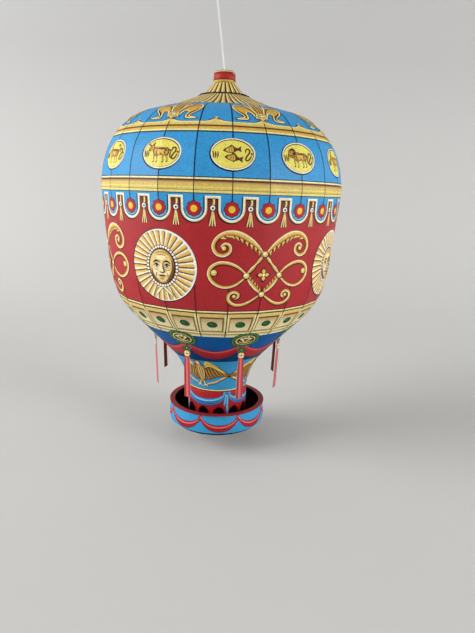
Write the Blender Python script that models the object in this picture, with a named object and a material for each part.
"""A printed card model of an eighteenth-century balloon, hanging from a thread.

Heights are measured from the widest circle of the envelope, which is z = 0 of the balloon.
The whole model hangs from a tied loop at the top of its thread, and the origin is that loop.
The front of the balloon is -Y. Angles go round from there towards +X.
"""

import math

import bmesh
import bpy
from mathutils import Matrix, Vector

MM = 0.001

# Card, and the gap left between pieces that touch.
CARD = 0.45 * MM
GAP = 0.3 * MM

# Envelope: 24 gores, made up in pairs. Each outline point is (radius, height).
GORES = 24
GORES_IN_SECTOR = 2
CROWN_EDGE = (16.0 * MM, 62.0 * MM)
CROWN_SLOPE = (31.5 * MM, 55.7 * MM)
SHOULDER_FOOT = (52.3 * MM, 49.2 * MM)
SHOULDER = (62.9 * MM, 41.2 * MM)
UPPER_SIDE = (69.7 * MM, 31.5 * MM)
HIGH_SIDE = (73.5 * MM, 21.0 * MM)
WIDEST = (75.2 * MM, 9.0 * MM)
BAND_TOP = (75.1 * MM, 5.0 * MM)
BAND_FOOT = (70.6 * MM, -43.0 * MM)
KNEE = (68.0 * MM, -54.0 * MM)
UNDER_KNEE = (63.9 * MM, -63.0 * MM)
UNDERSIDE = (58.3 * MM, -70.3 * MM)
CONE_TOP = (52.8 * MM, -75.9 * MM)
CONE_FOOT = (31.4 * MM, -98.6 * MM)
ROWS_IN_SPAN = 3

# Neck: a funnel down to a wall with twelve arches, which stands in the gallery.
NECK_TOP = (31.0 * MM, -98.9 * MM)
NECK_UPPER = (26.6 * MM, -105.0 * MM)
NECK_WAIST = (22.7 * MM, -113.5 * MM)
NECK_FOOT = (20.3 * MM, -123.2 * MM)
ARCADE_RADIUS = 20.3 * MM
ARCADE_TOP = -123.5 * MM
ARCADE_FOOT = -146.6 * MM
ARCH_COUNT = 12
ARCH_HALF_WIDTH = math.radians(10.8)
ARCH_SPRING = -138.6 * MM
ARCH_RISE = 4.0 * MM
ARCH_STEPS = 6

# Gallery: a bulged wall, a flat rim on top of it and a floor inside it.
RIM_INNER = 29.4 * MM
RIM_OUTER = 32.9 * MM
RIM_TOP = -134.9 * MM
RIM_THICKNESS = 0.5 * MM
WALL_TOP = (31.9 * MM, -135.7 * MM)
WALL_BULGE = (32.7 * MM, -140.5 * MM)
WALL_LOWER = (32.8 * MM, -144.5 * MM)
WALL_FOOT = (32.5 * MM, -147.6 * MM)
FLOOR_TOP = -146.9 * MM
FLOOR_THICKNESS = 0.6 * MM
FLOOR_RADIUS = 31.7 * MM
BASE_RADIUS = 29.5 * MM
BASE_FOOT = -150.0 * MM

# Crown: a small collar on a fluted cone, whose flange lies on the tips of the gores.
CONE_FLANGE_RADIUS = 16.2 * MM
CONE_FLANGE_HEIGHT = 62.45 * MM
CONE_FLANGE_THICKNESS = 0.4 * MM
CROWN_CONE_FOOT_RADIUS = 13.2 * MM
CROWN_CONE_TOP_RADIUS = 7.0 * MM
CROWN_CONE_TOP = 69.7 * MM
COLLAR_FOOT_RADIUS = 6.9 * MM
COLLAR_TOP_RADIUS = 6.5 * MM
COLLAR_TOP = 76.9 * MM
CAP_TOP = 76.4 * MM
CAP_RADIUS = 5.7 * MM

# Thread: knotted under the cap, straight up to a tied loop, and leaning to one side.
THREAD_RADIUS = 0.55 * MM
THREAD_HOLE = 0.9 * MM
THREAD_LEAN = math.radians(7.7)
THREAD_LEAN_TOWARDS = math.radians(-109.1)
THREAD_BEND_HEIGHT = 77.0 * MM
THREAD_LENGTH = 43.0 * MM
KNOT_RADIUS = 1.3 * MM
LOOP_RADIUS = 2.4 * MM

# Pennants: eight, hinged at a fold under the lower cone.
PENNANT_COUNT = 8
PENNANT_RADIUS = 43.6 * MM
PENNANT_HINGE = -86.75 * MM
PENNANT_THICKNESS = 0.5 * MM
PENNANT_TAB = 0.25 * MM
BOW_HALF_WIDTH = 2.3 * MM
BOW_WAIST = 0.9 * MM
BOW_LENGTH = 2.0 * MM
BEAD_RADIUS = 2.2 * MM
BEAD_CENTRE = 4.2 * MM
BEAD_STEPS = 7
RIBBON_TOP = 6.3 * MM
RIBBON_TOP_HALF_WIDTH = 1.7 * MM
RIBBON_FULL = 14.0 * MM
RIBBON_HALF_WIDTH = 2.5 * MM
RIBBON_FOOT = 33.0 * MM

# Facets of the turned pieces.
WIDE_FACETS = 48
NECK_FACETS = 36
SMALL_FACETS = 24
THREAD_FACETS = 8

COLOURS = {
    "blue_print": (0.10, 0.38, 0.66),
    "red_print": (0.50, 0.05, 0.06),
    "cream_print": (0.75, 0.66, 0.36),
    "deep_blue_print": (0.02, 0.13, 0.38),
    "neck_print": (0.08, 0.30, 0.58),
    "gold_print": (0.68, 0.50, 0.16),
    "dark_card": (0.02, 0.005, 0.005),
    "thread": (0.80, 0.82, 0.80),
}


def clear_scene():
    for old in list(bpy.data.objects):
        bpy.data.objects.remove(old)


def finish_material(name):
    """The printed card of one colour, made once and shared by the pieces that have it."""
    if name in bpy.data.materials:
        return bpy.data.materials[name]
    made = bpy.data.materials.new(name)
    made.use_nodes = True
    shader = made.node_tree.nodes["Principled BSDF"]
    shader.inputs["Base Color"].default_value = (*COLOURS[name], 1.0)
    shader.inputs["Roughness"].default_value = 0.55
    shader.inputs["Metallic"].default_value = 0.0
    return made


def add_empty(name, parent=None, location=(0.0, 0.0, 0.0), turn=0.0):
    empty = bpy.data.objects.new(name, None)
    bpy.context.scene.collection.objects.link(empty)
    empty.parent = parent
    empty.location = location
    empty.rotation_euler = (0.0, 0.0, turn)
    return empty


def add_piece(name, shape, finish, parent):
    """Turns a bmesh into a named object with its material, under its parent."""
    mesh = bpy.data.meshes.new(name)
    shape.to_mesh(mesh)
    shape.free()
    mesh.materials.append(finish_material(finish))
    mesh.shade_smooth()
    mesh.set_sharp_from_angle(angle=math.radians(12.0))
    piece = bpy.data.objects.new(name, mesh)
    bpy.context.scene.collection.objects.link(piece)
    piece.parent = parent
    return piece


def thicken(piece, thickness=CARD):
    """Gives a sheet its card thickness, inwards from the face that shows."""
    solidify = piece.modifiers.new("card", "SOLIDIFY")
    solidify.thickness = thickness
    solidify.offset = -1.0
    solidify.use_even_offset = True


def round_the_axis(radius, angle, height):
    """A point at an angle that is counted from -Y towards +X."""
    return Vector((radius * math.sin(angle), -radius * math.cos(angle), height))


def smooth_outline(points, steps):
    """Points on a smooth curve through the given ones, with steps in each span."""
    ends = [points[0], *points, points[-1]]
    curve = []
    for before, start, end, after in zip(ends, ends[1:], ends[2:], ends[3:]):
        for step in range(steps):
            t = step / steps
            curve.append(
                tuple(
                    0.5
                    * (
                        2.0 * b
                        + (c - a) * t
                        + (2.0 * a - 5.0 * b + 4.0 * c - d) * t**2
                        + (3.0 * b - a - 3.0 * c + d) * t**3
                    )
                    for a, b, c, d in zip(before, start, end, after)
                )
            )
    curve.append(points[-1])
    return curve


def sheet(outline, angles, side_gap=0.0):
    """An open sheet over an outline of (radius, height) points, from top to bottom.

    A side gap pulls the first and last angle in by that distance at every radius.
    """
    shape = bmesh.new()
    rows = []
    for radius, height in outline:
        inset = side_gap / radius
        turned = [angles[0] + inset, *angles[1:-1], angles[-1] - inset]
        rows.append([shape.verts.new(round_the_axis(radius, a, height)) for a in turned])
    for upper, lower in zip(rows, rows[1:]):
        for column in range(len(angles) - 1):
            shape.faces.new(
                (upper[column], lower[column], lower[column + 1], upper[column + 1])
            )
    return shape


def tube_sheet(outline, facets):
    """The same sheet closed into a ring."""
    angles = [math.tau * step / facets for step in range(facets + 1)]
    shape = sheet(outline, angles)
    bmesh.ops.remove_doubles(shape, verts=shape.verts, dist=0.01 * MM)
    return shape


def turned_ring(section, facets):
    """A closed ring, from a section of (radius, height) points taken clockwise from its top inner one."""
    shape = bmesh.new()
    rings = [
        [
            shape.verts.new(round_the_axis(radius, math.tau * step / facets, height))
            for step in range(facets)
        ]
        for radius, height in section
    ]
    for upper, lower in zip(rings, rings[1:] + rings[:1]):
        for step in range(facets):
            after = (step + 1) % facets
            shape.faces.new((upper[step], lower[step], lower[after], upper[after]))
    bmesh.ops.recalc_face_normals(shape, faces=shape.faces)
    return shape


def turned_disc(section, facets):
    """A solid disc, from (radius, height) points down its outer side, capped flat at both ends."""
    shape = tube_sheet(section, facets)
    rims = [edge for edge in shape.edges if edge.is_boundary]
    bmesh.ops.holes_fill(shape, edges=rims, sides=facets)
    bmesh.ops.recalc_face_normals(shape, faces=shape.faces)
    return shape


def extruded_plate(outline, thickness):
    """A flat plate in the XZ plane, its thickness shared to both sides of it."""
    shape = bmesh.new()
    front = shape.faces.new(
        [shape.verts.new((x, -thickness / 2.0, z)) for x, z in outline]
    )
    grown = bmesh.ops.extrude_face_region(shape, geom=[front])
    moved = [part for part in grown["geom"] if isinstance(part, bmesh.types.BMVert)]
    bmesh.ops.translate(shape, verts=moved, vec=(0.0, thickness, 0.0))
    bmesh.ops.recalc_face_normals(shape, faces=shape.faces)
    return shape


def gore_angles(sector):
    """The seams of one sector of gores. A seam of the envelope lies on -Y."""
    first = sector * GORES_IN_SECTOR
    return [
        math.tau * (first + step) / GORES for step in range(GORES_IN_SECTOR + 1)
    ]


def add_envelope(balloon):
    """Upper gores, a plain band round the middle, lower gores and the lower cone."""
    upper = smooth_outline(
        [
            CROWN_EDGE,
            CROWN_SLOPE,
            SHOULDER_FOOT,
            SHOULDER,
            UPPER_SIDE,
            HIGH_SIDE,
            WIDEST,
            (BAND_TOP[0], BAND_TOP[1] + GAP),
        ],
        ROWS_IN_SPAN,
    )
    lower = smooth_outline(
        [
            (BAND_FOOT[0], BAND_FOOT[1] - GAP),
            KNEE,
            UNDER_KNEE,
            UNDERSIDE,
            CONE_TOP,
        ],
        ROWS_IN_SPAN,
    )
    for sector in range(GORES // GORES_IN_SECTOR):
        angles = gore_angles(sector)
        for name, outline, finish in (
            ("upper_gores", upper, "blue_print"),
            ("lower_gores", lower, "cream_print"),
        ):
            shape = sheet(outline, angles, GAP / 2.0)
            thicken(add_piece(f"{name}_{sector + 1:02d}", shape, finish, balloon))
    quarter = math.pi / 2.0
    for name, middle in (("middle_band_front", 0.0), ("middle_band_back", math.pi)):
        angles = [
            middle - quarter + math.pi * step / (WIDE_FACETS // 2)
            for step in range(WIDE_FACETS // 2 + 1)
        ]
        shape = sheet([BAND_TOP, BAND_FOOT], angles, GAP / 2.0)
        thicken(add_piece(name, shape, "red_print", balloon))
    cone_top = (CONE_TOP[0] - GAP, CONE_TOP[1] - GAP)
    shape = tube_sheet([cone_top, CONE_FOOT], WIDE_FACETS)
    thicken(add_piece("lower_cone", shape, "deep_blue_print", balloon))


def add_neck(balloon):
    outline = smooth_outline([NECK_TOP, NECK_UPPER, NECK_WAIST, NECK_FOOT], 2)
    shape = tube_sheet(outline, NECK_FACETS)
    thicken(add_piece("neck_funnel", shape, "neck_print", balloon))
    thicken(add_piece("arcade_wall", arcade_sheet(), "red_print", balloon))


def arcade_sheet():
    """A ring wall with twelve arches, open at the floor. A pillar stands on every 30 degrees."""
    shape = bmesh.new()
    bay = math.tau / ARCH_COUNT
    for arch in range(ARCH_COUNT):
        centre = (arch + 0.5) * bay
        curve = []
        for step in range(ARCH_STEPS + 1):
            swing = math.pi * step / ARCH_STEPS
            curve.append(
                (
                    centre - ARCH_HALF_WIDTH * math.cos(swing),
                    ARCH_SPRING + ARCH_RISE * math.sin(swing),
                )
            )
        for (left, left_low), (right, right_low) in zip(curve, curve[1:]):
            add_wall_panel(shape, left, right, ARCADE_TOP, left_low, right_low)
        pillar_left = centre + ARCH_HALF_WIDTH
        pillar_right = centre + bay - ARCH_HALF_WIDTH
        for top, foot in ((ARCADE_TOP, ARCH_SPRING), (ARCH_SPRING, ARCADE_FOOT)):
            add_wall_panel(shape, pillar_left, pillar_right, top, foot, foot)
    bmesh.ops.remove_doubles(shape, verts=shape.verts, dist=0.01 * MM)
    return shape


def add_wall_panel(shape, left, right, top, left_low, right_low):
    corners = ((left, top), (left, left_low), (right, right_low), (right, top))
    shape.faces.new(
        [
            shape.verts.new(round_the_axis(ARCADE_RADIUS, angle, height))
            for angle, height in corners
        ]
    )


def add_gallery(balloon):
    rim_foot = RIM_TOP - RIM_THICKNESS
    section = [
        (RIM_INNER, RIM_TOP),
        (RIM_OUTER, RIM_TOP),
        (RIM_OUTER, rim_foot),
        (RIM_INNER, rim_foot),
    ]
    add_piece("gallery_rim", turned_ring(section, WIDE_FACETS), "red_print", balloon)
    wall = tube_sheet([WALL_TOP, WALL_BULGE, WALL_LOWER, WALL_FOOT], WIDE_FACETS)
    thicken(add_piece("gallery_wall", wall, "blue_print", balloon))
    floor_foot = FLOOR_TOP - FLOOR_THICKNESS
    section = [
        (FLOOR_RADIUS, FLOOR_TOP),
        (FLOOR_RADIUS, floor_foot),
        (BASE_RADIUS, floor_foot),
        (BASE_RADIUS, BASE_FOOT),
    ]
    floor = turned_disc(section, WIDE_FACETS)
    add_piece("gallery_floor", floor, "dark_card", balloon)


def add_crown(balloon):
    flange_top = CONE_FLANGE_HEIGHT + CONE_FLANGE_THICKNESS
    section = [
        (CROWN_CONE_TOP_RADIUS - CARD, CROWN_CONE_TOP),
        (CROWN_CONE_TOP_RADIUS, CROWN_CONE_TOP),
        (CROWN_CONE_FOOT_RADIUS, flange_top),
        (CONE_FLANGE_RADIUS, flange_top),
        (CONE_FLANGE_RADIUS, CONE_FLANGE_HEIGHT),
        (CROWN_CONE_FOOT_RADIUS - CARD, CONE_FLANGE_HEIGHT),
    ]
    cone = turned_ring(section, WIDE_FACETS)
    add_piece("crown_cone", cone, "gold_print", balloon)
    collar_foot = CROWN_CONE_TOP + GAP
    section = [
        (COLLAR_TOP_RADIUS - CARD, COLLAR_TOP),
        (COLLAR_TOP_RADIUS, COLLAR_TOP),
        (COLLAR_FOOT_RADIUS, collar_foot),
        (COLLAR_FOOT_RADIUS - CARD, collar_foot),
    ]
    collar = turned_ring(section, SMALL_FACETS)
    add_piece("collar", collar, "red_print", balloon)
    section = [
        (THREAD_HOLE, CAP_TOP),
        (CAP_RADIUS, CAP_TOP),
        (CAP_RADIUS, CAP_TOP - CARD),
        (THREAD_HOLE, CAP_TOP - CARD),
    ]
    cap = turned_ring(section, SMALL_FACETS)
    add_piece("collar_cap", cap, "cream_print", balloon)


def lean_direction():
    side = round_the_axis(math.sin(THREAD_LEAN), THREAD_LEAN_TOWARDS, 0.0)
    return side + Vector((0.0, 0.0, math.cos(THREAD_LEAN)))


def loop_centre():
    """The middle of the tied loop, in the balloon's own heights."""
    bend = Vector((0.0, 0.0, THREAD_BEND_HEIGHT))
    reach = THREAD_LENGTH + KNOT_RADIUS / 2.0 + LOOP_RADIUS
    return bend + lean_direction() * reach


def swept_tube(path, closed):
    """A round thread swept along a path of points."""
    shape = bmesh.new()
    rings = []
    for index, point in enumerate(path):
        before = path[index - 1] if index or closed else point
        after = path[(index + 1) % len(path)] if index + 1 < len(path) or closed else point
        along = (after - before).normalized()
        across = along.orthogonal().normalized()
        if rings:
            across = (side - along * side.dot(along)).normalized()
        side = across
        other = along.cross(across)
        rings.append(
            [
                shape.verts.new(
                    point
                    + THREAD_RADIUS
                    * (
                        across * math.cos(math.tau * step / THREAD_FACETS)
                        + other * math.sin(math.tau * step / THREAD_FACETS)
                    )
                )
                for step in range(THREAD_FACETS)
            ]
        )
    pairs = list(zip(rings, rings[1:]))
    if closed:
        pairs.append((rings[-1], rings[0]))
    else:
        shape.faces.new(rings[0])
        shape.faces.new(rings[-1])
    for lower, upper in pairs:
        for step in range(THREAD_FACETS):
            after = (step + 1) % THREAD_FACETS
            shape.faces.new((lower[step], lower[after], upper[after], upper[step]))
    bmesh.ops.recalc_face_normals(shape, faces=shape.faces)
    return shape


def knot(centre):
    shape = bmesh.new()
    bmesh.ops.create_icosphere(
        shape, subdivisions=2, radius=KNOT_RADIUS, matrix=Matrix.Translation(centre)
    )
    return shape


def add_thread(hanging):
    """The thread, its two knots and its loop, joined into one solid."""
    cap_foot = CAP_TOP - CARD
    lower_knot = Vector((0.0, 0.0, cap_foot - GAP - KNOT_RADIUS))
    bend = Vector((0.0, 0.0, THREAD_BEND_HEIGHT))
    upper_knot = bend + lean_direction() * THREAD_LENGTH
    thread = add_piece(
        "thread", swept_tube([lower_knot, bend, upper_knot], False), "thread", hanging
    )
    across = Vector((0.0, 0.0, 1.0)).cross(lean_direction()).normalized()
    ring = []
    for step in range(SMALL_FACETS):
        turn = math.tau * step / SMALL_FACETS
        outward = lean_direction() * math.sin(turn) + across * math.cos(turn)
        ring.append(loop_centre() + outward * LOOP_RADIUS)
    joined = (
        ("loop_ring", swept_tube(ring, True)),
        ("lower_knot", knot(lower_knot)),
        ("upper_knot", knot(upper_knot)),
    )
    for name, shape in joined:
        helper = add_piece(name, shape, "thread", hanging)
        helper.hide_render = True
        helper.display_type = "WIRE"
        union = thread.modifiers.new(name, "BOOLEAN")
        union.operation = "UNION"
        union.object = helper


def pennant_outline():
    """The outline of a bow, a bead and a ribbon, hanging from the hinge at z = 0."""
    right = [
        (BOW_WAIST, PENNANT_TAB),
        (BOW_HALF_WIDTH, -0.3 * BOW_LENGTH),
        (BOW_WAIST, -0.6 * BOW_LENGTH),
        (0.8 * BOW_HALF_WIDTH, -BOW_LENGTH),
    ]
    for step in range(BEAD_STEPS):
        turn = math.radians(35.0 + 110.0 * step / (BEAD_STEPS - 1))
        right.append(
            (
                BEAD_RADIUS * math.sin(turn),
                -BEAD_CENTRE + BEAD_RADIUS * math.cos(turn),
            )
        )
    right += [
        (RIBBON_TOP_HALF_WIDTH, -RIBBON_TOP),
        (RIBBON_HALF_WIDTH, -RIBBON_FULL),
        (RIBBON_HALF_WIDTH, -RIBBON_FOOT),
    ]
    left = [(-x, z) for x, z in reversed(right)]
    return right + left


def add_pennants(balloon):
    for index in range(PENNANT_COUNT):
        angle = math.tau * index / PENNANT_COUNT
        place = round_the_axis(PENNANT_RADIUS, angle, PENNANT_HINGE)
        hinge = add_empty(f"pennant_hinge_{index + 1}", balloon, place, angle)
        plate = extruded_plate(pennant_outline(), PENNANT_THICKNESS)
        add_piece(f"pennant_{index + 1}", plate, "red_print", hinge)


def main():
    clear_scene()
    hanging = add_empty("hanging", location=-loop_centre())
    balloon = add_empty("balloon", hanging)
    add_envelope(balloon)
    add_neck(balloon)
    add_gallery(balloon)
    add_crown(balloon)
    add_pennants(balloon)
    add_thread(hanging)


main()
